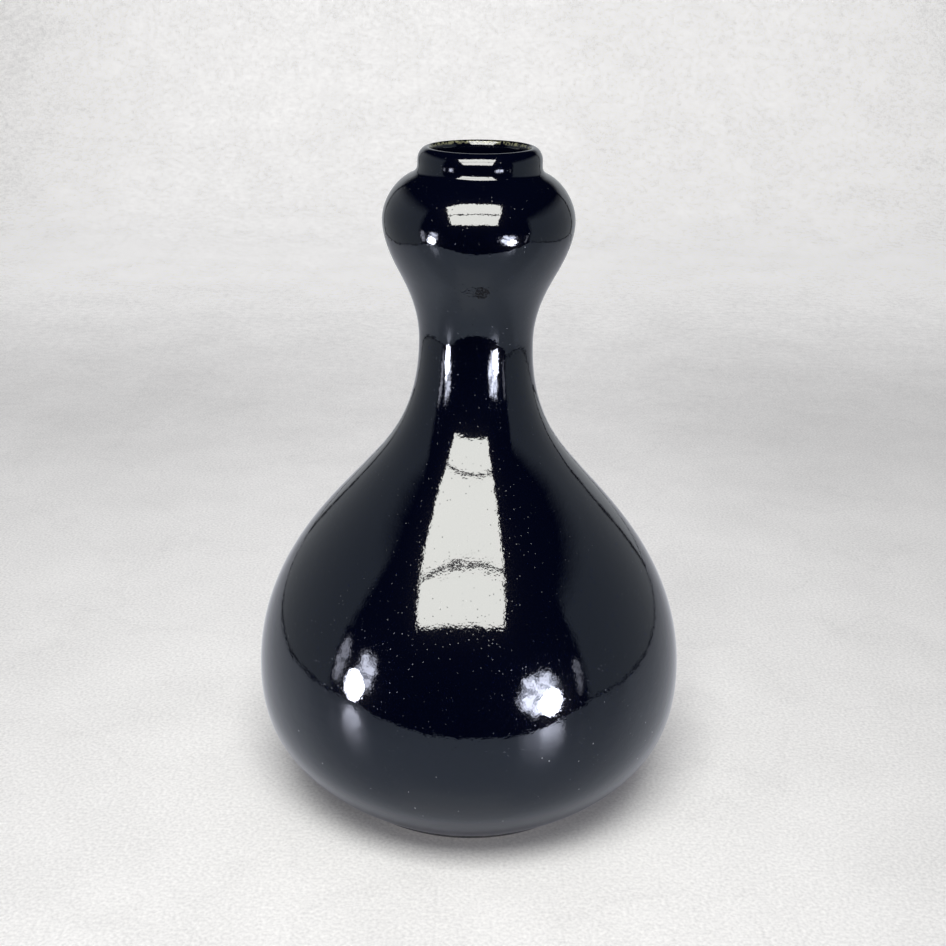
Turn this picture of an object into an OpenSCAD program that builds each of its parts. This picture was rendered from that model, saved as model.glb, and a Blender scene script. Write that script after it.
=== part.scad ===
// Gourd vase with a garlic-head mouth, thrown in sections that are luted together with slip and glazed.
// Origin at the middle of the face that it stands on, Z up the axis. Radii and heights are of the glazed
// surface, in millimetres. Every section, bead of slip and coat of glaze is turned from the same outlines.

/* [Foot] */
// Outer radius of the foot, glazed
foot_r = 51.5; // [50:0.25:53]
// Width of the ring that it stands on
foot_w = 7; // [6:0.25:8]
// Height of the foot ring, up to the seat in the belly
foot_h = 6; // [5:0.25:7]
// Bare height above the table, where the glaze is wiped off
foot_bare = 0.9; // [0.6:0.1:1.2]
// Width of the bevel on the ring's two lower edges
foot_bevel = 0.6; // [0.3:0.1:1]
// Depth of the hollow under the base
base_rise = 5; // [4:0.25:5.5]
// Height of the inside bottom above the table
floor_z = 11; // [10:0.5:14]

/* [Belly] */
// How far the lowest ring of the belly stands out beyond the foot
heel_out = 1.3; // [0.8:0.1:2]
// Height of that ring
heel_z = 2; // [1.8:0.1:2.5]
// Lean of the wall there, from upright
heel_lean = 53; // [50:1:56]
// Radius of the belly at its widest
belly_r = 82.1; // [78:0.2:86]
// Height of the widest ring
belly_z = 50; // [46:0.5:56]

/* [Shoulder] */
// Radius at the steepest place of the shoulder
shoulder_r = 41.9; // [39:0.2:45]
// Rise from the belly's widest ring to that place
shoulder_rise = 79.6; // [75:0.2:84]
// Inward lean of the wall there, from upright
shoulder_lean = 41; // [38:1:44]

/* [Neck] */
// Radius of the neck at its narrowest
neck_r = 20.9; // [19.5:0.1:22.5]
// Rise from the shoulder to the narrowest ring
neck_rise = 51.1; // [48:0.1:54]

/* [Head] */
// Radius where the neck opens into the head
flare_r = 27.9; // [26.5:0.1:29]
// Rise from the narrowest ring to that place
flare_rise = 24.5; // [22:0.1:27]
// Outward lean of the wall there, from upright
flare_lean = 28; // [26:1:30]
// Radius of the head at its widest
head_r = 34.4; // [33:0.1:36]
// Rise from there to the widest ring of the head
head_rise = 19.3; // [17:0.1:21]
// How far the head's shoulder stands out under the collar
brow_out = 2.3; // [2:0.05:2.7]
// Rise from the widest ring to that shoulder
brow_rise = 16.1; // [14:0.1:18]
// Inward lean of the shoulder there, from upright
brow_lean = 65; // [60:1:70]

/* [Collar] */
// Outer radius of the collar
collar_r = 22.05; // [21.8:0.05:22.8]
// Rise from the head's shoulder to the upright side of the collar
collar_rise = 3.9; // [3.5:0.1:4.4]
// Height of that upright side, below the lip's outer rounding
collar_side = 1; // [0.4:0.1:1.6]
// Height of the lip's outer rounding
lip_rise = 4.8; // [4:0.1:5.6]
// Width of the lip's outer rounding
lip_round = 3.6; // [3:0.1:4.2]
// Depth of the lip's inner rounding, which the potter's thumb draws down into the mouth
lip_inner = 3.2; // [1:0.1:3.6]
// Width of the rim, from the side of the collar to the mouth
rim_w = 4.85; // [4.6:0.05:5.6]
// How far the straight bore of the mouth runs down past the head's shoulder
bore_drop = 0.4; // [0:0.1:1]

/* [Wall] */
// Thickness of the wall, glazed on both sides
wall_t = 5; // [4.4:0.1:5.4]
// Thickness of each coat of glaze
glaze_t = 0.4; // [0.3:0.05:0.5]

/* [Seams] */
// Rise from the belly's widest ring to the seam between its two halves
belly_seam_rise = 6; // [2:1:12]
// Drop from the narrowest ring to the seam at the root of the neck
neck_seam_drop = 31.7; // [28:0.1:35]
// Drop from the flare to the seam between neck and head
head_seam_drop = 3.2; // [2:0.1:4.4]
// Rise from the head's shoulder to the seam between head and collar
collar_seam_rise = 1.2; // [1:0.1:1.4]
// Height of the inner step that centres one section on the next
step_h = 2.4; // [1.8:0.1:3]
// Thickness of the slip between two sections
slip_t = 0.4; // [0.3:0.05:0.6]

/* [Hidden] */
$fn = 180;

CLAY = [0.80, 0.77, 0.71];
SLIP = [0.62, 0.57, 0.50];
GLAZE = [0.02, 0.02, 0.03];

heel_r = foot_r + heel_out;
shoulder_z = belly_z + shoulder_rise;
neck_z = shoulder_z + neck_rise;
flare_z = neck_z + flare_rise;
head_z = flare_z + head_rise;
brow_z = head_z + brow_rise;
collar_z = brow_z + collar_rise;
side_z = collar_z + collar_side;
lip_z = side_z + lip_rise;
brow_r = collar_r + brow_out;
mouth_r = collar_r - rim_w;
bore_z = brow_z - bore_drop;
belly_seam_z = belly_z + belly_seam_rise;
neck_seam_z = neck_z - neck_seam_drop;
head_seam_z = flare_z - head_seam_drop;
collar_seam_z = brow_z + collar_seam_rise;

// Reach of the handles that make a quarter of an ellipse, as a share of its radius
QUARTER = 0.5523;
// A station is a ring that the outline passes: [radius, height, lean, reach before, reach after].
// The lean is from upright, outwards positive, in the direction of travel up the outside and down
// the inside. The reaches are the lengths of the curve's two handles there.
HEEL = [heel_r, heel_z, heel_lean, 0, 23];
BELLY = [belly_r, belly_z, 0, 24.5, 38.5];
SHOULDER = [shoulder_r, shoulder_z, -shoulder_lean, 22.5, 14.5];
NECK = [neck_r, neck_z, 0, 28, 10.6];
FLARE = [flare_r, flare_z, flare_lean, 6.8, 6.8];
HEAD = [head_r, head_z, 0, 6.5, 6.4];
BROW = [brow_r, brow_z, -brow_lean, 6.2, 2.4];
COLLAR = [collar_r, collar_z, 0, 1.6, 0];
LIP = [collar_r, side_z, 0, 0, lip_rise * QUARTER];
CREST = [collar_r - lip_round, lip_z, -90, lip_round * QUARTER, (rim_w - lip_round) * QUARTER];
EDGE = [mouth_r, lip_z - lip_inner, -180, lip_inner * QUARTER, 0];

function ring(s) = [s[0], s[1]];
function heading(lean) = [sin(lean), cos(lean)];
function bezier(a, b, c, d, t) =
    pow(1 - t, 3) * a + 3 * t * pow(1 - t, 2) * b + 3 * t * t * (1 - t) * c + pow(t, 3) * d;
// The curve from one station up to, but not with, the next, in n steps
function run(a, b, n) = [
    for (i = [0:n - 1])
        bezier(ring(a), ring(a) + a[4] * heading(a[2]), ring(b) - b[3] * heading(b[2]), ring(b), i / n)
];
function last(line) = line[len(line) - 1];
function reverse(line) = [for (i = [len(line) - 1:-1:0]) line[i]];
// Outward normal of a line that runs up the outside, at its point i
function normal(line, i) =
    let (along = line[min(i + 1, len(line) - 1)] - line[max(i - 1, 0)])
    [along[1], -along[0]] / norm(along);
// The line moved inwards by d, towards the clay
function sunk(line, d) = [for (i = [0:len(line) - 1]) line[i] - d * normal(line, i)];
// Radius of a line that climbs, at height z
function radius_at(line, z) = let (
    above = [for (p = line) if (p[1] >= z) p],
    below = [for (p = line) if (p[1] < z) p],
    a = last(below),
    b = above[0]
) a[0] + (b[0] - a[0]) * (z - a[1]) / (b[1] - a[1]);
// The stretch of a climbing line between two heights
function stretch(line, z0, z1) = concat(
    [[radius_at(line, z0), z0]],
    [for (p = line) if (p[1] > z0 + 0.02 && p[1] < z1 - 0.02) p],
    [[radius_at(line, z1), z1]]
);

// The glazed outside, from the wiped edge over the foot to the inner edge of the lip
HEEL_LINE = run(HEEL, BELLY, 16);
RISE_LINE = concat(
    run(BELLY, SHOULDER, 16), run(SHOULDER, NECK, 14), run(NECK, FLARE, 9), run(FLARE, HEAD, 8),
    run(HEAD, BROW, 12)
);
BODY_LINE = concat(HEEL_LINE, RISE_LINE, run(BROW, COLLAR, 6), [ring(COLLAR)]);
LIP_LINE = concat(run(LIP, CREST, 9), run(CREST, EDGE, 7), [ring(EDGE)]);
SKIN = concat([[foot_r, foot_bare], [foot_r, heel_z - glaze_t / 2]], BODY_LINE, LIP_LINE);

// The glazed inside, climbing from the middle of the bottom to the same edge of the lip
WALL_LINE = sunk(BODY_LINE, wall_t);
belly_i = len(HEEL_LINE);
brow_i = belly_i + len(RISE_LINE);
INNER_FLOOR = [0, floor_z, 90, 0, 0.78 * belly_r];
INNER_BELLY = concat(WALL_LINE[belly_i], [0, 24.5, 0]);
INNER_BROW = concat(WALL_LINE[brow_i], [-brow_lean, 0, 2.2]);
BORE = [mouth_r, bore_z, 0, 1.6, 0];
LINING = concat(
    run(INNER_FLOOR, INNER_BELLY, 22), [for (i = [belly_i:brow_i - 1]) WALL_LINE[i]],
    run(INNER_BROW, BORE, 6), [ring(BORE), ring(EDGE)]
);

// The clay under both coats
clay_foot_r = foot_r - glaze_t;
CLAY_OUT = sunk(BODY_LINE, glaze_t);
CLAY_LIP = sunk(LIP_LINE, glaze_t);
CLAY_IN = concat(
    [[0, floor_z - glaze_t]], [for (i = [1:len(LINING) - 3]) LINING[i] + glaze_t * normal(LINING, i)],
    [[mouth_r + glaze_t, bore_z], [mouth_r + glaze_t, lip_z - lip_inner]]
);
CLAY_SIDE = concat(CLAY_OUT, [[collar_r - glaze_t, side_z]]);
ring_in_r = foot_r - foot_w;
seat_z = foot_h + slip_t;
seat_r = clay_foot_r + slip_t;

module turned(colour, outline) {
    color(colour) rotate_extrude() polygon(outline);
}

// Middle of the clay wall at a seam, where its step stands
function step_r(z) = (radius_at(CLAY_SIDE, z) + radius_at(CLAY_IN, z + step_h)) / 2;
// Stepped joint face at a seam, from the outside in. The face over the slip is raised by its thickness.
function joint_face(z, raised) = let (s = raised ? slip_t : 0, r = step_r(z) + s) [
    [r, z + s],
    [r, z + step_h + s]
];
// One section of clay between the slip of the seam below it and the seam above it
function section(low, high) = concat(
    stretch(CLAY_SIDE, low + slip_t, high), joint_face(high, false),
    reverse(stretch(CLAY_IN, low + step_h + slip_t, high + step_h)), reverse(joint_face(low, true))
);
// The bead of slip in a seam, which fills the stepped gap
function bead(z) = concat(
    stretch(CLAY_SIDE, z, z + slip_t), joint_face(z, true),
    reverse(stretch(CLAY_IN, z + step_h, z + step_h + slip_t)), reverse(joint_face(z, false))
);

// Ring that the vase stands on, let into a seat turned in the belly's underside
module foot_ring() {
    turned(CLAY, [
        [ring_in_r, foot_bevel], [ring_in_r + foot_bevel, 0], [clay_foot_r - foot_bevel, 0],
        [clay_foot_r, foot_bevel], [clay_foot_r, foot_h], [ring_in_r, foot_h]
    ]);
}

// Slip over the top of the foot ring and down its outer side
module foot_slip() {
    turned(SLIP, [
        [ring_in_r, foot_h], [clay_foot_r, foot_h], [clay_foot_r, CLAY_OUT[0][1]],
        [seat_r, CLAY_OUT[0][1]], [seat_r, seat_z], [ring_in_r, seat_z]
    ]);
}

// Bowl-shaped lower half of the belly with the closed base
module lower_belly() {
    turned(CLAY, concat(
        [[0, base_rise], [ring_in_r, base_rise], [ring_in_r, seat_z], [seat_r, seat_z]],
        [[seat_r, CLAY_OUT[0][1]]],
        [for (p = CLAY_OUT) if (p[1] < belly_seam_z - 0.02) p],
        [[radius_at(CLAY_SIDE, belly_seam_z), belly_seam_z]],
        joint_face(belly_seam_z, false),
        [[radius_at(CLAY_IN, belly_seam_z + step_h), belly_seam_z + step_h]],
        reverse([for (p = CLAY_IN) if (p[1] < belly_seam_z + step_h - 0.02) p])
    ));
}

module belly_slip() {
    turned(SLIP, bead(belly_seam_z));
}

// Upper half of the belly, drawn in to the root of the neck
module upper_belly() {
    turned(CLAY, section(belly_seam_z, neck_seam_z));
}

module neck_slip() {
    turned(SLIP, bead(neck_seam_z));
}

module neck() {
    turned(CLAY, section(neck_seam_z, head_seam_z));
}

module head_slip() {
    turned(SLIP, bead(head_seam_z));
}

// Garlic-shaped head
module head() {
    turned(CLAY, section(head_seam_z, collar_seam_z));
}

module collar_slip() {
    turned(SLIP, bead(collar_seam_z));
}

// Thick collar with the rounded lip
module collar() {
    turned(CLAY, concat(
        stretch(CLAY_SIDE, collar_seam_z + slip_t, side_z), CLAY_LIP,
        [[radius_at(CLAY_IN, collar_seam_z + step_h + slip_t), collar_seam_z + step_h + slip_t]],
        reverse(joint_face(collar_seam_z, true))
    ));
}

// Coat over the whole outside, from the wiped edge of the foot to the inner edge of the lip
module outer_glaze() {
    turned(GLAZE, concat(
        SKIN, reverse(CLAY_LIP), reverse(CLAY_OUT),
        [[clay_foot_r, CLAY_OUT[0][1]], [clay_foot_r, foot_bare]]
    ));
}

// Coat over the whole inside, up to the same edge of the lip
module inner_glaze() {
    turned(GLAZE, concat(CLAY_IN, reverse(LINING)));
}

// Coat on the underside of the base, inside the foot ring
module base_glaze() {
    color(GLAZE) translate([0, 0, base_rise - glaze_t]) cylinder(r = ring_in_r, h = glaze_t);
}

foot_ring();
foot_slip();
lower_belly();
belly_slip();
upper_belly();
neck_slip();
neck();
head_slip();
head();
collar_slip();
collar();
outer_glaze();
inner_glaze();
base_glaze();
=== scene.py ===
"""A black glazed gourd vase with a garlic-shaped head, thrown in sections and dressed over its solid model.

Every piece is in metres, in the frame of the solid model: the origin is the middle of the face that the
vase stands on, and Z runs up its axis.
"""
from __future__ import annotations

import logging
import math
from dataclasses import dataclass
from enum import Enum
from typing import Any

import bpy
import numpy as np
from mathutils import Matrix, Vector


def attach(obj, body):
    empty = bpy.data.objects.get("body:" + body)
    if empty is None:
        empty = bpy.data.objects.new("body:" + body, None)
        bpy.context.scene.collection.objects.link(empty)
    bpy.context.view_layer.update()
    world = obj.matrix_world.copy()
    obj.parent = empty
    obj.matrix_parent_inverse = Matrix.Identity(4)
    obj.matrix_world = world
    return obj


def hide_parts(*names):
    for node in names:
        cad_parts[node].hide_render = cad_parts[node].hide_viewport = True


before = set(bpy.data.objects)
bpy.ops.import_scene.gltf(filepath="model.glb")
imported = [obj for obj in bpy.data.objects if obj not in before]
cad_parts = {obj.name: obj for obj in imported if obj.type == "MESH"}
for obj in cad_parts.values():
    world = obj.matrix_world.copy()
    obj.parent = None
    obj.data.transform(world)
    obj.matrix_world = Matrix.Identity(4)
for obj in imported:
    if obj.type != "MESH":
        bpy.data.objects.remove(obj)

LOG = logging.getLogger("gourd_vase")
MM = 0.001
WELD = 0.0012 * MM
CORNER = math.radians(35.0)
PICTURE_PX = 946
BODY = "root"

Socket = bpy.types.NodeSocket
Colour = tuple[float, float, float]
BLACK: Colour = (0.0, 0.0, 0.0)

# Reach of a curve's handles on a quarter circle, as a share of its radius
QUARTER = 0.55

# Points to each curve of the outside: in the rolled edge over the foot, up to the brow, and in the lip
ROLL_STEPS = [3, 3]
WALL_STEPS = [32, 34, 32, 16, 14, 18]
LIP_STEPS = [8, 2, 10, 8]


class Finish(Enum):
    """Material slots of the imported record."""

    CLAY = "clay"
    SLIP = "slip"
    GLAZE = "black_glaze"


class Val:
    """A number that changes over a surface: one shader socket with Python's operators."""

    def __init__(self, graph: "Graph", socket: Socket) -> None:
        """Keeps the graph that the socket belongs to."""
        self.graph = graph
        self.socket = socket

    def _math(self, operation: str, first: "Val | float", second: "Val | float" = 0.0) -> "Val":
        """Adds one Math node.

        Args:
            operation: The node's operation.
            first: Its first value.
            second: Its second value.

        Returns:
            The node's result.
        """
        settings = {"operation": operation}
        return self.graph.node("ShaderNodeMath", settings, {0: first, 1: second}).out("Value")

    def __add__(self, other: "Val | float") -> "Val":
        """Sum."""
        return self._math("ADD", self, other)

    def __sub__(self, other: "Val | float") -> "Val":
        """Difference."""
        return self._math("SUBTRACT", self, other)

    def __rsub__(self, other: float) -> "Val":
        """Difference from a number."""
        return self._math("SUBTRACT", other, self)

    def __mul__(self, other: "Val | float") -> "Val":
        """Product."""
        return self._math("MULTIPLY", self, other)

    __rmul__ = __mul__

    def __pow__(self, other: float) -> "Val":
        """Power."""
        return self._math("POWER", self, other)

    def __lt__(self, other: "Val | float") -> "Val":
        """One where this is less than the other."""
        return self._math("LESS_THAN", self, other)

    def __gt__(self, other: "Val | float") -> "Val":
        """One where this is more than the other."""
        return self._math("GREATER_THAN", self, other)

    def __abs__(self) -> "Val":
        """Size without the sign."""
        return self._math("ABSOLUTE", self)

    def ramp(self, low: float, high: float) -> "Val":
        """Rises smoothly from 0 at low to 1 at high, which may be the smaller of the two.

        Args:
            low: The value that gives 0.
            high: The value that gives 1.

        Returns:
            A number from 0 to 1.
        """
        ends = {"Value": self, "From Min": min(low, high), "From Max": max(low, high)}
        settings = {"interpolation_type": "SMOOTHSTEP"}
        rise = self.graph.node("ShaderNodeMapRange", settings, ends).out("Result")
        return rise if low < high else 1.0 - rise


class Node:
    """One shader node, with its outputs by name."""

    def __init__(self, graph: "Graph", node: bpy.types.Node) -> None:
        """Keeps the graph that the node belongs to."""
        self.graph = graph
        self.node = node

    def out(self, name: str | int) -> Val:
        """The output of that name or number."""
        return Val(self.graph, self.node.outputs[name])


class Graph:
    """The node tree of one material or of the world."""

    def __init__(self, owner: bpy.types.Material | bpy.types.World) -> None:
        """Empties the owner's node tree and keeps it."""
        owner.use_nodes = True
        self.tree = owner.node_tree
        self.tree.nodes.clear()

    def node(self, kind: str, settings: dict[str, Any], sockets: dict[str | int, Any]) -> Node:
        """Adds a node.

        Args:
            kind: Its type.
            settings: Its settings, which are made first.
            sockets: Values or links for its inputs, by name or number.

        Returns:
            The new node.
        """
        new = self.tree.nodes.new(kind)
        for name, value in settings.items():
            setattr(new, name, value)
        for name, value in sockets.items():
            if isinstance(value, Val):
                self.tree.links.new(value.socket, new.inputs[name])
            else:
                new.inputs[name].default_value = value
        return Node(self, new)

    def place(self) -> Val:
        """Object coordinates."""
        return self.node("ShaderNodeTexCoord", {}, {}).out("Object")

    def axes(self) -> tuple[Val, Val, Val]:
        """Object coordinates as three numbers."""
        split = self.node("ShaderNodeSeparateXYZ", {}, {"Vector": self.place()})
        return split.out("X"), split.out("Y"), split.out("Z")

    def noise(self, size: float, detail: float = 2.0, squash: float = 1.0) -> Val:
        """Smooth noise from 0 to 1.

        Args:
            size: Width of its blobs in metres.
            detail: How many finer layers it has.
            squash: How much taller than wide the blobs are.

        Returns:
            The noise at each point of the surface.
        """
        stretched = {"Vector": self.place(), "Scale": (1.0, 1.0, 1.0 / squash)}
        scaled = self.node("ShaderNodeMapping", {}, stretched)
        sockets = {"Vector": scaled.out("Vector"), "Scale": 1.0 / size, "Detail": detail}
        return self.node("ShaderNodeTexNoise", {}, sockets).out(0)

    def scatter(self, spacing: float, share: float) -> tuple[Val, Val]:
        """A random pattern of cells, each with one point.

        Args:
            spacing: Width of a cell in metres.
            share: Share of the cells that are chosen.

        Returns:
            How far each place is from its cell's point, in cell widths, and 1 where the cell is chosen.
        """
        cell = self.node("ShaderNodeTexVoronoi", {}, {"Vector": self.place(), "Scale": 1.0 / spacing})
        chosen = self.node("ShaderNodeSeparateColor", {}, {0: cell.out("Color")}).out("Red") < share
        return cell.out("Distance"), chosen

    def blend(self, amount: Val | float, first: Colour | Val, second: Colour | Val) -> Val:
        """Mixes two colours.

        Args:
            amount: Share of the second colour.
            first: The first colour.
            second: The second colour.

        Returns:
            The mixed colour.
        """
        mix = self.node("ShaderNodeMix", {"data_type": "RGBA"}, {0: amount})
        for slot, colour in ((6, first), (7, second)):
            if isinstance(colour, Val):
                self.tree.links.new(colour.socket, mix.node.inputs[slot])
            else:
                mix.node.inputs[slot].default_value = (*colour, 1.0)
        return mix.out(2)

    def bump(self, height: Val, depth: float, under: Val | None = None) -> Val:
        """A normal that follows a height.

        Args:
            height: Height from 0 to 1.
            depth: What a height of 1 stands for, in metres.
            under: The normal of a coarser relief that this one lies on.

        Returns:
            The bumped normal.
        """
        sockets = {"Height": height, "Distance": depth} | ({"Normal": under} if under else {})
        return self.node("ShaderNodeBump", {}, sockets).out("Normal")

    def principled(self, sockets: dict[str | int, Any]) -> Val:
        """A Principled shader with these inputs."""
        return self.node("ShaderNodeBsdfPrincipled", {}, sockets).out("BSDF")

    def glowing(self, kind: str, colour: Colour, strength: Val | float) -> Val:
        """A shader that glows, for a surface or for the world.

        Args:
            kind: The node's type.
            colour: Its colour.
            strength: How brightly it glows.

        Returns:
            The node's shader.
        """
        return self.node(kind, {}, {"Color": (*colour, 1.0), "Strength": strength}).out(0)

    def mix(self, amount: Val, first: Val, second: Val) -> Val:
        """Mixes two shaders.

        Args:
            amount: Share of the second one.
            first: The first shader.
            second: The second shader.

        Returns:
            The mixed shader.
        """
        return self.node("ShaderNodeMixShader", {}, {0: amount, 1: first, 2: second}).out("Shader")

    def close(self, shader: Val, target: str = "ShaderNodeOutputMaterial") -> None:
        """Links the finished shader to the tree's output."""
        self.node(target, {}, {"Surface": shader})


def new_material(name: str) -> tuple[bpy.types.Material, Graph]:
    """A new material and its empty node tree."""
    material = bpy.data.materials.new(name)
    return material, Graph(material)


@dataclass(frozen=True)
class Specks:
    """Scattered round spots, one at most in each cell of a random pattern."""

    spacing: float
    radius: float
    share: float
    strength: float = 1.0

    def spots(self, graph: Graph) -> Val:
        """The spots as flat discs.

        Args:
            graph: The node tree that they are made in.

        Returns:
            The strength inside a spot and 0 outside.
        """
        distance, chosen = graph.scatter(self.spacing, self.share)
        return (distance < self.radius / self.spacing) * chosen * self.strength

    def pits(self, graph: Graph) -> Val:
        """The spots as shallow pits.

        Args:
            graph: The node tree that they are made in.

        Returns:
            Height, 1 on the level surface and 0 at the bottom of a pit.
        """
        distance, chosen = graph.scatter(self.spacing, self.share)
        return 1.0 - distance.ramp(self.radius / self.spacing, 0.0) * chosen


@dataclass(frozen=True)
class MirrorBlackGlaze:
    """Thick black glaze with a mirror gloss, a fine orange peel, pinholes, dust and one dull scar."""

    name: str = "mirror_black_glaze"
    black: Colour = (0.0004, 0.0009, 0.0050)
    thin: Colour = (0.21, 0.21, 0.12)
    dust: Colour = (0.42, 0.43, 0.45)
    tint: Colour = (0.74, 0.87, 1.0)
    dull: Colour = (0.005, 0.006, 0.009)
    roughness: float = 0.03
    peel_size: float = 0.85 * MM
    peel_depth: float = 0.016 * MM
    wave_size: float = 5.0 * MM
    wave_depth: float = 0.045 * MM
    wave_squash: float = 0.7
    pinholes: Specks = Specks(1.3 * MM, 0.23 * MM, 0.32)
    pinhole_depth: float = 0.055 * MM
    scar_at: tuple[float, float, float] = (0.0016, -0.0273, 0.2043)
    scar_radius: float = 2.7 * MM
    scar_fray: float = 2.2 * MM
    scar_cover: float = 0.9
    lip_z: float = 249.3 * MM
    crest_r: float = 18.3 * MM
    faint: Specks = Specks(1.5 * MM, 0.14 * MM, 0.35, 0.25)
    bright: Specks = Specks(4.2 * MM, 0.16 * MM, 0.2, 0.5)
    settled: Specks = Specks(2.6 * MM, 0.26 * MM, 0.5)
    settled_z: tuple[float, float] = (70.0 * MM, 45.0 * MM)
    dust_patch: float = 18.0 * MM
    settled_patch: float = 9.0 * MM

    def relief(self, graph: Graph) -> Val:
        """Broad waves from the wheel, then a fine orange peel, then scattered pinholes.

        Args:
            graph: The glaze's node tree.

        Returns:
            The normal that follows all three.
        """
        wave = graph.bump(graph.noise(self.wave_size, 1.0, self.wave_squash), self.wave_depth)
        peel = graph.bump(graph.noise(self.peel_size, 1.0), self.peel_depth, wave)
        return graph.bump(self.pinholes.pits(graph), self.pinhole_depth, peel)

    def scar(self, graph: Graph, place: tuple[Val, Val, Val]) -> Val:
        """Where the dull, frayed spot on the neck is.

        Args:
            graph: The glaze's node tree.
            place: Object coordinates.

        Returns:
            A number from 0 to 1.
        """
        x, y, z = ((axis - at) ** 2.0 for axis, at in zip(place, self.scar_at))
        frayed = (x + y + z) ** 0.5 + (graph.noise(1.0 * MM, 2.0) - 0.5) * self.scar_fray
        return frayed.ramp(self.scar_radius, self.scar_radius * 0.85) * graph.noise(0.7 * MM).ramp(0.36, 0.48)

    def thin_edge(self, graph: Graph, place: tuple[Val, Val, Val]) -> Val:
        """Where the glaze has run thin and golden, on the inner side of the lip.

        Args:
            graph: The glaze's node tree.
            place: Object coordinates.

        Returns:
            A number from 0 to 1.
        """
        x, y, z = place
        inside_crest = (x ** 2.0 + y ** 2.0) ** 0.5 < self.crest_r
        ring = abs(z - self.lip_z).ramp(0.8 * MM, 0.2 * MM) * inside_crest
        return ring * graph.noise(0.9 * MM, 3.0).ramp(0.42, 0.62)

    def dusting(self, graph: Graph, z: Val) -> Val:
        """Specks of dust in drifts, and more of them low on the belly.

        Args:
            graph: The glaze's node tree.
            z: Height.

        Returns:
            How much dust covers each place.
        """
        drifts = graph.noise(self.dust_patch, 3.0)
        low = graph.noise(self.settled_patch, 2.0).ramp(0.50, 0.58) * z.ramp(*self.settled_z)
        faint = self.faint.spots(graph) * drifts.ramp(0.40, 0.62)
        bright = self.bright.spots(graph) * drifts.ramp(0.44, 0.60)
        return faint + bright + self.settled.spots(graph) * low

    def make(self) -> bpy.types.Material:
        """Builds the material.

        Returns:
            The glaze as a procedural material.
        """
        material, graph = new_material(self.name)
        place = graph.axes()
        edge, dust = self.thin_edge(graph, place), self.dusting(graph, place[2])
        coated = graph.blend(edge, self.black, self.thin)
        sockets = {
            "Base Color": graph.blend(dust * 0.8, coated, self.dust),
            "Roughness": graph.noise(14.0 * MM, 3.0) * 0.02 + self.roughness + dust * 0.4 + edge * 0.1,
            "IOR": 1.55,
            "Normal": self.relief(graph),
            "Specular Tint": (*self.tint, 1.0),
            "Coat Weight": 0.02,
            "Coat Roughness": 0.25,
            "Coat IOR": 1.4,
        }
        matt = {"Base Color": (*self.dull, 1.0), "Roughness": 0.6, "IOR": 1.2}
        cover = self.scar(graph, place) * self.scar_cover
        graph.close(graph.mix(cover, graph.principled(sockets), graph.principled(matt)))
        return material


@dataclass(frozen=True)
class BareClay:
    """Unglazed stoneware: warm grey, speckled with iron, grooved by the turning tool."""

    name: str
    pale: Colour
    dark: Colour
    iron: Colour = (0.10, 0.055, 0.03)
    iron_specks: Specks = Specks(1.6 * MM, 0.3 * MM, 0.4, 0.8)
    cloud: float = 7.0 * MM
    grain: float = 0.8 * MM
    groove: float = 0.9 * MM
    groove_height: float = 0.25
    relief: float = 0.05 * MM

    def make(self) -> bpy.types.Material:
        """Builds the material.

        Returns:
            The clay as a procedural material.
        """
        material, graph = new_material(self.name)
        x, y, _ = graph.axes()
        reach = (x ** 2.0 + y ** 2.0) ** 0.5
        cloud = graph.blend(graph.noise(self.cloud, 4.0).ramp(0.3, 0.7), self.pale, self.dark)
        speckled = graph.blend(self.iron_specks.spots(graph), cloud, self.iron)
        phase = reach * (math.tau / self.groove)
        turned = graph.node("ShaderNodeMath", {"operation": "SINE"}, {0: phase}).out(0)
        height = turned * self.groove_height + graph.noise(self.grain, 5.0)
        sockets = {"Base Color": speckled, "Roughness": 0.86, "Normal": graph.bump(height, self.relief)}
        graph.close(graph.principled(sockets))
        return material


@dataclass(frozen=True)
class Station:
    """A ring that an outline passes, with the lean of the wall there and the reach of the curve."""

    radius: float
    height: float
    lean: float = 0.0
    before: float = 0.0
    after: float = 0.0

    def ring(self) -> Vector:
        """The station's place as radius and height, in metres."""
        return Vector((self.radius, self.height)) * MM

    def handle(self, reach: float) -> Vector:
        """How far a curve's handle reaches along the wall, in metres."""
        lean = math.radians(self.lean)
        return Vector((math.sin(lean), math.cos(lean))) * reach * MM


def curve(first: Station, last: Station, steps: int) -> list[Vector]:
    """Points from one station up to, but not with, the next.

    Args:
        first: Where the curve starts.
        last: Where it would end.
        steps: How many points it has.

    Returns:
        Points as radius and height, in metres.
    """
    a, d = first.ring(), last.ring()
    b, c = a + first.handle(first.after), d - last.handle(last.before)
    shares = [i / steps for i in range(steps)]
    return [
        (1 - t) ** 3 * a + 3 * t * (1 - t) ** 2 * b + 3 * t * t * (1 - t) * c + t ** 3 * d
        for t in shares
    ]


def through(stations: list[Station], steps: list[int]) -> list[Vector]:
    """One outline through several stations, with that many points to each curve."""
    line = [p for a, b, n in zip(stations, stations[1:], steps) for p in curve(a, b, n)]
    return line + [stations[-1].ring()]


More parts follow.
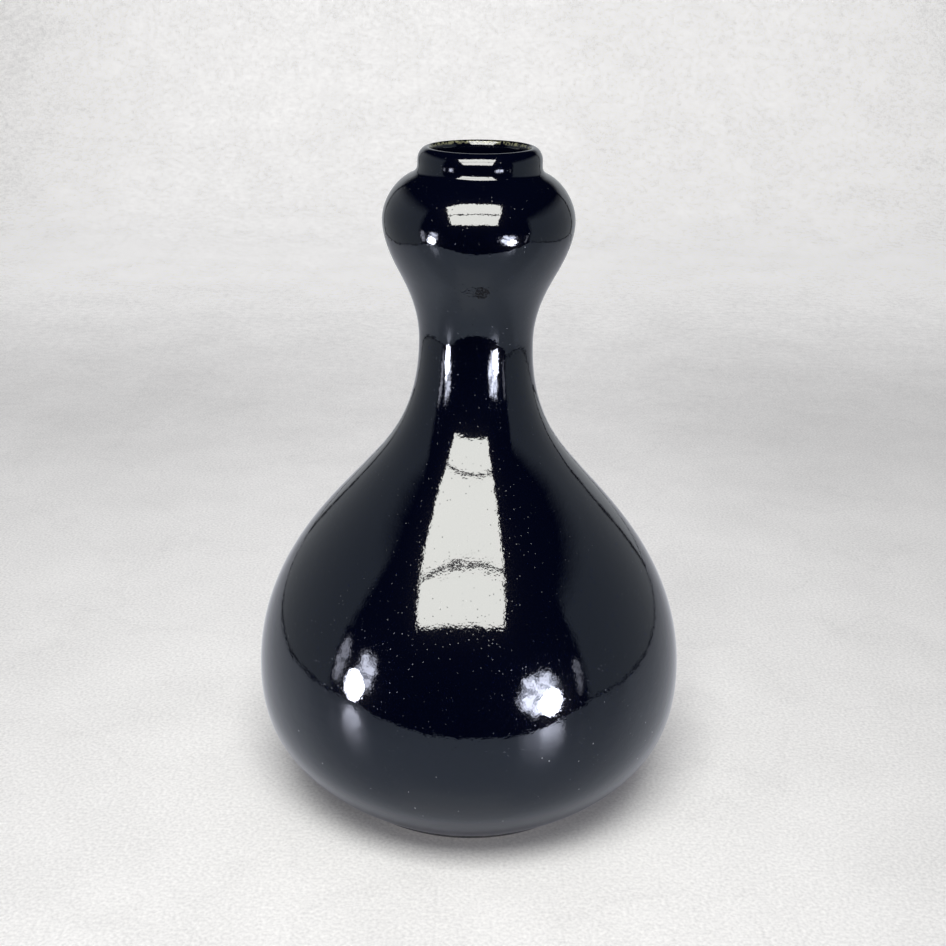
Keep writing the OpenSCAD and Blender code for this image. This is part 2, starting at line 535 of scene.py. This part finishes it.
@dataclass(frozen=True)
class Profile:
    """The vase's outlines in millimetres, as in the solid model."""

    foot_r: float = 51.5
    foot_w: float = 7.0
    foot_bare: float = 0.35
    base_rise: float = 5.0
    floor_z: float = 11.0
    wall: float = 5.0
    coat: float = 0.4
    mouth_r: float = 17.2
    bore_z: float = 240.2
    seam_z: float = 242.2
    step_h: float = 2.4
    step_r: float = 20.4
    lip_tilt: float = 0.0105
    ring_h: float = 6.0
    bevel: float = 0.6
    heel: Station = Station(52.8, 2.0, 53.0, 0.0, 23.0)
    belly: Station = Station(82.1, 50.0, 0.0, 24.5, 38.5)
    shoulder: Station = Station(41.9, 129.6, -41.0, 22.5, 14.5)
    neck: Station = Station(20.9, 180.7, 0.0, 28.0, 10.6)
    flare: Station = Station(27.9, 205.2, 28.0, 6.8, 6.8)
    head: Station = Station(34.4, 224.5, 0.0, 6.5, 6.4)
    brow: Station = Station(24.35, 240.6, -65.0, 6.2, 2.4)
    collar: Station = Station(22.05, 244.5, 0.0, 1.6, 0.3)
    lip: Station = Station(22.05, 245.5, 0.0, 0.3, 2.65)
    crest: Station = Station(18.45, 250.3, -90.0, 1.99, 0.69)
    edge: Station = Station(17.2, 247.1, -180.0, 1.77, 2.0)

    def outside(self) -> list[Vector]:
        """The glazed outside, from the rolled edge over the foot to the inner edge of the lip.

        Returns:
            Points as radius and height, in metres.
        """
        roll = [
            Station(self.foot_r - self.coat, self.foot_bare, 120.0, 0.0, 0.2),
            Station(self.foot_r, self.foot_bare + 0.3, 0.0, 0.2, 0.2),
            Station(self.heel.radius, self.heel.height, self.heel.lean, 0.6, self.heel.after),
        ]
        stations = [
            *roll, self.belly, self.shoulder, self.neck, self.flare, self.head, self.brow, self.collar,
            self.lip, self.crest, self.edge,
        ]
        return through(stations, [*ROLL_STEPS, *WALL_STEPS, *LIP_STEPS])

    def inside(self) -> list[Vector]:
        """The glazed inside, from the inner edge of the lip down to the middle of the bottom.

        Returns:
            Points as radius and height, in metres.
        """
        climb = [self.belly, self.shoulder, self.neck, self.flare, self.head, self.brow]
        outer = through(climb, [24, 22, 14, 10, 12])
        wall = [outer[i] - self.wall * MM * outward(outer, i) for i in range(len(outer))]
        low, high = wall[0] / MM, wall[-1] / MM
        bottom = curve(
            Station(0.0, self.floor_z, 90.0, 0.0, 0.78 * self.belly.radius),
            Station(low.x, low.y, 0.0, 24.5, 0.0), 24,
        )
        throat = curve(
            Station(high.x, high.y, self.brow.lean, 0.0, 2.2), Station(self.mouth_r, self.bore_z, 0.0, 1.6), 8
        )
        edge = Station(self.edge.radius, self.edge.height, 0.0, 2.0)
        bore = through([Station(self.mouth_r, self.bore_z, 0.0, 0.0, 2.0), edge], [6])
        line = bottom + wall[:-1] + throat + bore
        return line[::-1]

    def collar_clay(self) -> list[Vector]:
        """The collar's clay under its coats: up the outside, over the lip and down to the stepped seam.

        Returns:
            Points as radius and height, in metres, closed.
        """
        shape = through([self.brow, self.collar, self.lip, self.crest, self.edge], LIP_STEPS)
        clay = [shape[i] - self.coat * MM * outward(shape, i) for i in range(len(shape))]
        low = [p for p in clay if p.y > self.seam_z * MM or p.x < self.step_r * MM]
        step_z = self.seam_z + self.step_h
        foot = [
            Vector((low[-1].x / MM, step_z)), Vector((self.step_r, step_z)),
            Vector((self.step_r, self.seam_z)), Vector((low[0].x / MM, self.seam_z)),
        ]
        line = low + [p * MM for p in foot]
        return line + [low[0]]


def outward(line: list[Vector], i: int) -> Vector:
    """Outward normal of a line that climbs the outside, at its point i."""
    along = line[min(i + 1, len(line) - 1)] - line[max(i - 1, 0)]
    return Vector((along.y, -along.x)).normalized()


def only(obj: bpy.types.Object) -> None:
    """Makes obj the one selected and active object."""
    bpy.ops.object.select_all(action="DESELECT")
    obj.select_set(True)
    bpy.context.view_layer.objects.active = obj


def draw_line(name: str, line: list[Vector]) -> bpy.types.Object:
    """Draws an outline in the XZ plane by extruding a point along it.

    Args:
        name: Name of the new object.
        line: Points as radius and height, in metres.

    Returns:
        The new object, in edit mode with nothing but the line in it.
    """
    bpy.ops.object.select_all(action="DESELECT")
    bpy.ops.mesh.primitive_plane_add(size=MM, location=(0.0, 0.0, 0.0))
    obj = bpy.context.object
    obj.name = name
    bpy.ops.object.mode_set(mode="EDIT")
    bpy.ops.mesh.select_all(action="SELECT")
    bpy.ops.mesh.merge(type="CENTER")
    bpy.ops.transform.translate(value=(line[0].x, 0.0, line[0].y))
    for here, there in zip(line, line[1:]):
        step = there - here
        bpy.ops.mesh.extrude_vertices_move(TRANSFORM_OT_translate={"value": (step.x, 0.0, step.y)})
    return obj


def turn(name: str, line: list[Vector], steps: int) -> bpy.types.Object:
    """Turns an open outline once round Z, as on a wheel.

    Args:
        name: Name of the new object.
        line: Points as radius and height, in metres.
        steps: How many segments the turn has.

    Returns:
        The new object, smooth shaded and in object mode.
    """
    obj = draw_line(name, line)
    bpy.ops.mesh.select_all(action="SELECT")
    bpy.ops.mesh.spin(steps=steps, angle=math.tau, center=(0.0, 0.0, 0.0), axis=(0.0, 0.0, 1.0))
    bpy.ops.mesh.select_all(action="SELECT")
    bpy.ops.mesh.remove_doubles(threshold=WELD)
    bpy.ops.object.mode_set(mode="OBJECT")
    bpy.ops.object.shade_smooth()
    return obj


def flip_if(obj: bpy.types.Object, inward: bool) -> None:
    """Makes an open shell's faces point away from the axis, or towards it.

    Args:
        obj: A shell turned round Z.
        inward: Whether its faces are to point at the axis.
    """
    mesh = obj.data
    sides = sum(p.normal.x * p.center.x + p.normal.y * p.center.y for p in mesh.polygons)
    if (sides < 0.0) != inward:
        only(obj)
        bpy.ops.object.mode_set(mode="EDIT")
        bpy.ops.mesh.select_all(action="SELECT")
        bpy.ops.mesh.flip_normals()
        bpy.ops.object.mode_set(mode="OBJECT")


def close_up(obj: bpy.types.Object) -> None:
    """Makes a closed piece's faces point outwards and shades it."""
    only(obj)
    bpy.ops.object.mode_set(mode="EDIT")
    bpy.ops.mesh.select_all(action="SELECT")
    bpy.ops.mesh.normals_make_consistent(inside=False)
    bpy.ops.object.mode_set(mode="OBJECT")
    smooth(obj)


def smooth(obj: bpy.types.Object) -> None:
    """Shades a piece smooth, with its real corners kept sharp."""
    only(obj)
    bpy.ops.object.shade_smooth_by_angle(angle=CORNER)


def apply(obj: bpy.types.Object, kind: str, settings: dict[str, Any]) -> None:
    """Adds a modifier and applies it.

    Args:
        obj: The piece.
        kind: The modifier's type.
        settings: Its settings.
    """
    only(obj)
    modifier = obj.modifiers.new(kind.lower(), kind)
    for name, value in settings.items():
        setattr(modifier, name, value)
    bpy.ops.object.modifier_apply(modifier=modifier.name)


def soften(obj: bpy.types.Object, size: float, depth: float) -> None:
    """Dents a piece slightly and smoothly, as hands and fire do. Points only sink.

    Args:
        obj: The piece.
        size: Width of a dent in metres.
        depth: Depth of the deepest dent in metres.
    """
    texture = bpy.data.textures.new(f"{obj.name}_dents", "CLOUDS")
    texture.noise_scale = size
    texture.noise_depth = 1
    settings = {"texture": texture, "texture_coords": "LOCAL", "strength": depth, "mid_level": 1.0}
    apply(obj, "DISPLACE", settings)


def tilt_lip(obj: bpy.types.Object, profile: Profile) -> None:
    """Leans the top of a piece, because the lip isn't cut quite square to the axis.

    Args:
        obj: A piece that reaches the lip.
        profile: The vase's outlines.
    """
    places = np.empty(len(obj.data.vertices) * 3)
    obj.data.vertices.foreach_get("co", places)
    points = places.reshape(-1, 3)
    low, high = profile.head.height, profile.crest.height
    share = np.clip((points[:, 2] - low * MM) / (high - low) / MM, 0, 1)
    points[:, 2] -= share ** 2 * profile.lip_tilt * np.maximum(profile.crest.radius * MM - points[:, 0], 0.0)
    obj.data.vertices.foreach_set("co", points.ravel())
    obj.data.update()


def hand_in(obj: bpy.types.Object, material: bpy.types.Material, finish: Finish, *nodes: str) -> None:
    """Dresses a finished piece, rides it on the vase's body and lets it stand for solid nodes.

    Args:
        obj: The piece.
        material: Its material.
        finish: The record's slot for its finish; not used.
        nodes: The solid nodes that it replaces.
    """
    obj.data.materials.clear()
    obj.data.materials.append(material)
    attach(obj, BODY)
    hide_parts(*nodes)
    LOG.info("%s stands for %s, %d faces", obj.name, ", ".join(nodes), len(obj.data.polygons))


@dataclass
class GlazeCoats:
    """The coats of black glaze: over the outside, over the inside and under the base."""

    profile: Profile
    material: bpy.types.Material
    steps: int = 256
    base_steps: int = 128
    base_gap: float = 0.03
    dent: float = 0.10 * MM
    dent_size: float = 38.0 * MM

    def finish(self, coat: bpy.types.Object, node: str) -> None:
        """Leans a coat with the lip, gives it its thickness and hands it in.

        Args:
            coat: The coat's face, as a shell without thickness.
            node: The solid node that it replaces.
        """
        tilt_lip(coat, self.profile)
        apply(coat, "SOLIDIFY", {"thickness": self.profile.coat * MM, "offset": -1.0})
        smooth(coat)
        hand_in(coat, self.material, Finish.GLAZE, node)

    def outer(self) -> None:
        """Coat over the outside, thick enough to roll over the foot and bead at the wiped edge."""
        coat = turn("outer_glaze_coat", self.profile.outside(), self.steps)
        flip_if(coat, inward=False)
        soften(coat, self.dent_size, self.dent)
        self.finish(coat, "outer_glaze")

    def inner(self) -> None:
        """Coat over the inside, from the lip down to the bottom."""
        coat = turn("inner_glaze_coat", self.profile.inside(), self.steps)
        flip_if(coat, inward=True)
        self.finish(coat, "inner_glaze")

    def base(self) -> None:
        """Coat under the base, drawn up where it meets the foot ring."""
        low, high = self.profile.base_rise - self.profile.coat, self.profile.base_rise
        ring = self.profile.foot_r - self.profile.foot_w
        side = ring - self.base_gap
        stations = [
            Station(0.0, low, 90.0, 0.0, 12.0), Station(ring - 2.2, low, 90.0, 12.0, 1.2),
            Station(side, low - 0.9, 165.0, 1.0, 0.0),
        ]
        line = through(stations, [14, 8]) + [Vector((side, high)) * MM, Vector((0.0, high)) * MM]
        coat = turn("base_glaze_coat", line, self.base_steps)
        close_up(coat)
        hand_in(coat, self.material, Finish.GLAZE, "base_glaze")

    def build(self) -> None:
        """Makes the three coats."""
        self.outer()
        self.inner()
        self.base()


@dataclass
class ClaySections:
    """The thrown sections, the slip between them and the bare foot ring."""

    profile: Profile
    clay: bpy.types.Material
    slip: bpy.types.Material
    ring_steps: int = 192
    collar_steps: int = 128
    groove_w: float = 2.4
    groove_h: float = 0.22
    hidden: tuple[str, ...] = ("lower_belly", "upper_belly", "neck", "head")
    beads: tuple[str, ...] = ("foot_slip", "belly_slip", "neck_slip", "head_slip", "collar_slip")

    def dress(self, nodes: tuple[str, ...], material: bpy.types.Material) -> None:
        """Gives solid nodes a material.

        Args:
            nodes: Their names.
            material: What they are made of.
        """
        for name in nodes:
            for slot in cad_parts[name].material_slots:
                slot.material = material
            LOG.info("%s kept as the solid, in %s", name, material.name)

    def foot_ring(self) -> None:
        """The ring that the vase stands on, with worn edges and a shallow groove where it was turned."""
        outer = self.profile.foot_r - self.profile.coat
        inner, top, worn = self.profile.foot_r - self.profile.foot_w, self.profile.ring_h, self.profile.bevel
        middle, bend = (outer + inner) / 2, worn * QUARTER
        left, right = middle - self.groove_w / 2, middle + self.groove_w / 2
        stations = [
            Station(inner, top, -180.0, 0.0, 1.0), Station(inner, worn, -180.0, 1.0, bend),
            Station(inner + worn, 0.0, 90.0, bend, 0.6), Station(left, 0.0, 90.0, 0.6, 0.5),
            Station(middle, self.groove_h, 90.0, 0.6, 0.6), Station(right, 0.0, 90.0, 0.5, 0.6),
            Station(outer - worn, 0.0, 90.0, 0.6, bend), Station(outer, worn, 0.0, bend, 1.0),
            Station(outer, top, 0.0, 1.0, 0.0),
        ]
        line = through(stations, [3, 6, 2, 5, 5, 2, 6, 3])
        ring = turn("foot_ring_clay", line + [line[0]], self.ring_steps)
        close_up(ring)
        hand_in(ring, self.clay, Finish.CLAY, "foot_ring")

    def collar(self) -> None:
        """The collar's clay, which leans with the lip."""
        collar = turn("collar_clay", self.profile.collar_clay(), self.collar_steps)
        close_up(collar)
        tilt_lip(collar, self.profile)
        hand_in(collar, self.clay, Finish.CLAY, "collar")

    def build(self) -> None:
        """Makes the foot ring and the collar, and dresses the sections and the beads of slip."""
        self.foot_ring()
        self.collar()
        self.dress(self.hidden, self.clay)
        self.dress(self.beads, self.slip)


@dataclass(frozen=True)
class Viewpoint:
    """The photograph's camera."""

    focal_px: float = 1400.0
    distance: float = 0.4967
    height: float = 0.3161
    pitch: float = 20.72
    yaw: float = -0.49
    roll: float = 1.15
    shift_px: float = -11.3
    film: float = 36.0

    def build(self) -> None:
        """Adds the camera and makes it the scene's."""
        pitch, yaw, roll = (math.radians(a) for a in (self.pitch, self.yaw, self.roll))
        ahead = Vector((math.sin(yaw) * math.cos(pitch), math.cos(yaw) * math.cos(pitch), -math.sin(pitch)))
        level = ahead.cross(Vector((0.0, 0.0, 1.0))).normalized()
        upright = level.cross(ahead)
        right = level * math.cos(roll) + upright * math.sin(roll)
        up = upright * math.cos(roll) - level * math.sin(roll)
        bpy.ops.object.camera_add()
        camera = bpy.context.object
        turned = Matrix((right, up, -ahead)).transposed().to_4x4()
        camera.matrix_world = Matrix.Translation((0.0, -self.distance, self.height)) @ turned
        camera.data.sensor_width = self.film
        camera.data.lens = self.focal_px / PICTURE_PX * self.film
        camera.data.shift_x = -self.shift_px / PICTURE_PX
        camera.data.clip_start = 0.01
        bpy.context.scene.camera = camera
        LOG.info("camera lens %.1f mm", camera.data.lens)


@dataclass(frozen=True)
class SoftBox:
    """A flat lamp that faces a point and isn't seen by the camera."""

    name: str
    at: tuple[float, float, float]
    size: tuple[float, float]
    radiance: float
    colour: Colour = (1.0, 1.0, 1.0)
    facing: tuple[float, float, float] = (0.0, 0.0, 0.12)
    shape: str = "RECTANGLE"
    in_glaze: bool = True

    def build(self) -> None:
        """Adds the lamp, with the power that gives its face that radiance.

        A lamp that shows in the glaze lights no matt surface, and one that lights them doesn't show.
        """
        bpy.ops.object.light_add(type="AREA", location=self.at)
        lamp = bpy.context.object
        lamp.name = self.name
        lamp.data.shape = self.shape
        lamp.data.size, lamp.data.size_y = self.size
        area = self.size[0] * self.size[1] * (math.pi / 4 if self.shape == "ELLIPSE" else 1.0)
        lamp.data.energy = self.radiance * math.pi * area
        lamp.data.color = self.colour
        towards = Vector(self.facing) - Vector(self.at)
        lamp.rotation_euler = towards.to_track_quat("-Z", "Y").to_euler()
        lamp.visible_camera = False
        lamp.visible_glossy = self.in_glaze
        lamp.visible_diffuse = not self.in_glaze


@dataclass(frozen=True)
class Card:
    """A glowing card that shows in the glaze and nowhere else. It fades out towards its edges."""

    name: str
    at: tuple[float, float, float]
    size: tuple[float, float]
    turned: tuple[float, float, float]
    radiance: float
    side_fade: float = 0.06
    top_fade: float = 0.2
    colour: Colour = (0.93, 0.96, 1.0)

    def shape(self, graph: Graph, x: Val, y: Val) -> Val:
        """How brightly the card glows at each of its points.

        Args:
            graph: The card's node tree; not used here.
            x: Place along the card.
            y: Place up the card.

        Returns:
            A number from 0 to 1.
        """
        sides = (self.size[0] / 2 - abs(x)).ramp(0.0, self.side_fade)
        return sides * (self.size[1] / 2 - y).ramp(0.0, self.top_fade)

    def build(self) -> None:
        """Adds the card as part of the stage."""
        bpy.ops.object.select_all(action="DESELECT")
        bpy.ops.mesh.primitive_plane_add(size=1.0, location=self.at, rotation=self.turned)
        card = bpy.context.object
        card.name = self.name
        card.scale = (*self.size, 1.0)
        bpy.ops.object.transform_apply(location=False, rotation=False, scale=True)
        material, graph = new_material(self.name)
        x, y, _ = graph.axes()
        graph.close(graph.glowing("ShaderNodeEmission", self.colour, self.shape(graph, x, y) * self.radiance))
        card.data.materials.append(material)
        card.visible_camera = False
        card.visible_diffuse = False
        card.visible_shadow = False
        card.visible_transmission = False


@dataclass(frozen=True)
class LampShade(Card):
    """The crumpled shade round a small lamp: an uneven oval with darker creases."""

    colour: Colour = (1.0, 0.90, 0.96)
    blob: float = 0.05
    fray: float = 1.1
    crease: float = 0.035
    crease_squash: float = 2.5
    crease_depth: float = 0.7

    def shape(self, graph: Graph, x: Val, y: Val) -> Val:
        """How brightly the shade glows at each of its points.

        Args:
            graph: The shade's node tree.
            x: Place along the shade.
            y: Place up the shade.

        Returns:
            A number from 0 to 1.
        """
        reach = ((x * (2 / self.size[0])) ** 2.0 + (y * (2 / self.size[1])) ** 2.0) ** 0.5
        uneven = reach + (graph.noise(self.blob, 2.0) - 0.5) * self.fray
        creases = graph.noise(self.crease, 4.0, self.crease_squash).ramp(0.48, 0.56)
        return uneven.ramp(0.95, 0.50) * (1.0 - creases * self.crease_depth)


@dataclass(frozen=True)
class SlopingPanel:
    """The light panel over the camera, in two leaves that leave a narrow dark gap."""

    middle: float = -0.047
    width: float = 0.42
    low: tuple[float, float] = (-0.423, 0.374)
    high: tuple[float, float] = (-0.205, 0.590)
    seam: float = 0.53
    gap: float = 0.013
    radiance: float = 20.6
    colour: Colour = (1.0, 0.858, 0.715)

    def leaf(self, name: str, start: float, end: float) -> None:
        """Adds one leaf.

        Args:
            name: Its name.
            start: Where it starts, as a share of the slope from the lower edge.
            end: Where it ends.
        """
        low, high = Vector(self.low), Vector(self.high)
        slope = high - low
        centre = low + slope * (start + end) / 2
        at = (self.middle, centre.x, centre.y)
        facing = (self.middle, centre.x + slope.y, centre.y - slope.x)
        size = (self.width, slope.length * (end - start))
        SoftBox(name, at, size, self.radiance, self.colour, facing).build()

    def build(self) -> None:
        """Adds both leaves."""
        half_gap = self.gap / (Vector(self.high) - Vector(self.low)).length / 2
        self.leaf("panel_front", 0.0, self.seam - half_gap)
        self.leaf("panel_back", self.seam + half_gap, 1.0)


@dataclass(frozen=True)
class Fade:
    """A change of tone that sets in between two places."""

    amount: float
    start: float
    end: float

    def at(self, place: Val) -> Val:
        """The change at a place."""
        return place.ramp(self.start, self.end) * self.amount


@dataclass(frozen=True)
class StudioPaper:
    """Mottled pale paper, with painted shade that makes it darker towards the back of the floor, up the wall
    and towards the sides.

    The camera sees it matt. The glaze sees it with a slight sheen, which mirrors the lamps, and only
    inside the tent. Blotch, grain and plaster each hold a width and a depth of tone.
    """

    tent: tuple[float, float, float]
    floor_edge: float = -0.30
    pale: Colour = (1.0, 0.995, 0.955)
    cool: Colour = (0.94, 0.96, 1.0)
    shadow: Colour = (0.004, 0.005, 0.008)
    level: float = 0.85
    blotch: tuple[float, float] = (0.05, 0.18)
    grain: tuple[float, float] = (0.0013, 0.6)
    plaster: tuple[float, float] = (0.006, 0.40)
    plaster_back: Fade = Fade(1.0, 0.1, 0.9)
    vein_size: float = 0.11
    veins: Fade = Fade(-0.03, 0.012, 0.0)
    # Painted shade and light in the paper's colour: these fades darken it towards the back, up the wall,
    # towards the sides and on the right, and lighten it at the bend.
    floor_back: Fade = Fade(-0.055, 0.18, 0.48)
    bend: Fade = Fade(0.05, 0.46, 0.80)
    wall_top: Fade = Fade(-0.20, 0.35, 1.1)
    beside: Fade = Fade(-0.10, 0.05, 0.28)
    beside_front: Fade = Fade(1.0, 0.90, 0.35)
    right: Fade = Fade(-0.04, 0.06, 0.18)
    left_edge: Fade = Fade(-0.10, -0.36, -0.64)
    right_edge: Fade = Fade(-0.06, 0.45, 0.68)
    far_edges: Fade = Fade(-0.17, 0.50, 0.85)
    # Painted light: a glow that lifts the far floor and the wall for the camera.
    wall_glow: Fade = Fade(0.23, 0.40, 1.05)
    # Painted shade: the glaze sees the floor in front of the vase darker.
    mirrored_front_shade: Fade = Fade(-0.22, -0.02, -0.10)
    sheen_roughness: float = 0.27
    sheen_ior: float = 1.19

    def mottling(self, graph: Graph, y: Val) -> Val:
        """Blotches, thin dark veins and grain, with coarser plaster towards the wall.

        Args:
            graph: The paper's node tree.
            y: Place towards the back.

        Returns:
            A factor round 1.
        """
        blotches, grain, plaster = (
            (graph.noise(size, detail) - 0.5) * depth
            for (size, depth), detail in ((self.blotch, 10.0), (self.grain, 3.0), (self.plaster, 4.0))
        )
        veins = self.veins.at(abs(graph.noise(self.vein_size, 6.0) - 0.5))
        return blotches + veins + grain + 1.0 + plaster * self.plaster_back.at(y)

    def shading(self, x: Val, y: Val, z: Val) -> Val:
        """The paper's tone from place to place, with painted shade and light in it.

        Args:
            x: Place to the right.
            y: Place towards the back.
            z: Height.

        Returns:
            The share of light that it sends back, with the painted shade and light in it.
        """
        depth = self.floor_back.at(y) + self.bend.at(y) + self.wall_top.at(z) + self.level
        beside = self.beside.at(abs(x)) * self.beside_front.at(y) + self.right.at(x)
        return depth + beside + self.left_edge.at(x) + self.right_edge.at(x) + self.far_edges.at(abs(x))

    def make(self) -> bpy.types.Material:
        """Builds the material.

        Returns:
            The paper as a procedural material.
        """
        material, graph = new_material("studio_paper")
        x, y, z = graph.axes()
        mottling, shading = self.mottling(graph, y), self.shading(x, y, z)
        matt = {
            "Base Color": graph.blend(shading * mottling, BLACK, self.pale),
            "Roughness": 1.0,
            "IOR": 1.0,
            # Painted light: the far floor and the wall glow for the camera.
            "Emission Color": graph.blend(mottling * self.wall_glow.at(y), BLACK, self.pale),
            "Emission Strength": 1.0,
        }
        # The glaze sees the paper with the same painted shade, darker again in front of the vase, and cooler.
        sheen = {
            "Base Color": graph.blend(shading * (self.mirrored_front_shade.at(y) + 1.0), BLACK, self.cool),
            "Roughness": self.sheen_roughness,
            "IOR": self.sheen_ior,
        }
        left, right, back = self.tent
        inside = (x > left) * (x < right) * (y > self.floor_edge) * (y < back)
        rays = graph.node("ShaderNodeLightPath", {}, {})
        paper = graph.mix(rays.out("Is Camera Ray"), graph.principled(sheen), graph.principled(matt))
        dark = graph.glowing("ShaderNodeEmission", self.shadow, 1.0)
        graph.close(graph.mix(rays.out("Is Glossy Ray") * (1.0 - inside), paper, dark))
        return material


@dataclass(frozen=True)
class Studio:
    """Pale floor that sweeps up into a wall, soft light, and the lamps that the glaze mirrors."""

    half_width: float = 3.0
    front: float = -3.0
    back: float = 1.5
    bend: float = 0.45
    bend_steps: int = 12
    wall: float = 2.6
    tent: tuple[float, float, float] = (-0.45, 0.60, 0.70)
    tent_wall: float = 0.6
    tent_middle: float = 0.308
    ambient: float = 0.26
    ambient_colour: Colour = (0.90, 0.87, 1.02)
    mirrored_colour: Colour = (0.6, 0.7, 1.0)
    mirrored: float = 0.01
    ground: float = 0.8

    def sweep(self, paper: StudioPaper) -> None:
        """The floor and the wall, in one sheet.

        Args:
            paper: What the sheet is made of.
        """
        arc = [
            Vector((self.back - self.bend + self.bend * math.sin(a), self.bend * (1 - math.cos(a))))
            for a in (math.pi / 2 * i / self.bend_steps for i in range(self.bend_steps + 1))
        ]
        line = [Vector((self.front, 0.0)), *arc, Vector((self.back, self.wall))]
        sheet = draw_line("sweep", line)
        bpy.ops.mesh.select_all(action="SELECT")
        bpy.ops.transform.rotate(value=-math.pi / 2, orient_axis="Z", center_override=(0.0, 0.0, 0.0))
        bpy.ops.transform.translate(value=(-self.half_width, 0.0, 0.0))
        bpy.ops.mesh.extrude_region_move(TRANSFORM_OT_translate={"value": (2 * self.half_width, 0.0, 0.0)})
        bpy.ops.object.mode_set(mode="OBJECT")
        bpy.ops.object.shade_smooth()
        sheet.data.materials.append(paper.make())

    def world(self, ground: Colour) -> None:
        """Even soft light on matt surfaces, darkness in the glaze and a pale ground for the camera.

        Args:
            ground: Colour of the ground.
        """
        sky = bpy.data.worlds.new("studio")
        bpy.context.scene.world = sky
        graph = Graph(sky)
        rays = graph.node("ShaderNodeLightPath", {}, {})
        even = graph.glowing("ShaderNodeBackground", self.ambient_colour, self.ambient)
        dim = graph.glowing("ShaderNodeBackground", self.mirrored_colour, self.mirrored)
        pale = graph.glowing("ShaderNodeBackground", ground, self.ground)
        lit = graph.mix(rays.out("Is Glossy Ray"), even, dim)
        graph.close(graph.mix(rays.out("Is Camera Ray"), lit, pale), "ShaderNodeOutputWorld")

    def lamps(self) -> None:
        """The sloping panel, the two small lamps, and the soft lights that throw the shadow."""
        SlopingPanel().build()
        lilac = {"radiance": 60.0, "colour": (1.0, 0.90, 0.95), "shape": "ELLIPSE"}
        SoftBox("lamp_left", (-0.385, -0.26, 0.066), (0.084, 0.110), **lilac).build()
        SoftBox("lamp_right", (0.316, -0.38, 0.062), (0.106, 0.098), **lilac).build()
        unseen = {"facing": (0.0, 0.0, 0.0), "in_glaze": False}
        SoftBox("key", (-0.11, -1.03, 1.94), (1.35, 1.0), 10.0, **unseen).build()
        SoftBox("fill", (0.0, -1.60, 0.70), (2.0, 0.8), 1.25, **unseen).build()

    def walls(self) -> None:
        """The tent's walls as the glaze shows them: glowing cards that stand for their lit faces."""
        left, right, back = self.tent
        upright = math.pi / 2
        for name, x, y, width, turned, radiance in (
            ("left_wall", left, 0.25, 0.90, upright, 0.42),
            ("right_wall", right, 0.17, 1.06, -upright, 0.42),
            ("back_wall", (left + right) / 2, back, 1.05, 0.0, 0.62),
        ):
            at, size = (x, y, self.tent_middle), (width, self.tent_wall)
            Card(name, at, size, (upright, 0.0, turned), radiance).build()

    def shades(self) -> None:
        """The crumpled shades behind the lamps, and the faint patches beyond them."""
        for name, at, size, turned, radiance, crease in (
            ("shade_left", (-0.395, -0.31, 0.132), (0.13, 0.18), -0.9, 16.0, 0.035),
            ("shade_right", (0.290, -0.430, 0.106), (0.22, 0.20), 0.6, 26.0, 0.035),
            ("far_left", (-0.425, -0.19, 0.130), (0.07, 0.20), -1.1, 5.0, 0.018),
            ("far_right", (0.400, -0.27, 0.125), (0.05, 0.15), 0.9, 2.5, 0.018),
        ):
            LampShade(name, at, size, (math.pi / 2, 0.0, turned), radiance, crease=crease).build()

    def build(self) -> None:
        """Sets up the whole stage."""
        paper = StudioPaper(self.tent)
        self.sweep(paper)
        self.world(paper.pale)
        self.lamps()
        self.walls()
        self.shades()
        bpy.context.scene.view_settings.view_transform = "Standard"


def main() -> None:
    """Builds the vase's visible pieces and the studio round it."""
    logging.basicConfig(level=logging.INFO, format="%(name)s: %(message)s")
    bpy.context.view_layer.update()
    profile = Profile()
    glaze = MirrorBlackGlaze().make()
    clay = BareClay("bare_stoneware", (0.42, 0.37, 0.30), (0.30, 0.25, 0.19)).make()
    slip = BareClay("luting_slip", (0.30, 0.26, 0.21), (0.22, 0.18, 0.14)).make()
    GlazeCoats(profile, glaze).build()
    ClaySections(profile, clay, slip).build()
    Viewpoint().build()
    Studio().build()


if __name__ == "__main__":
    main()
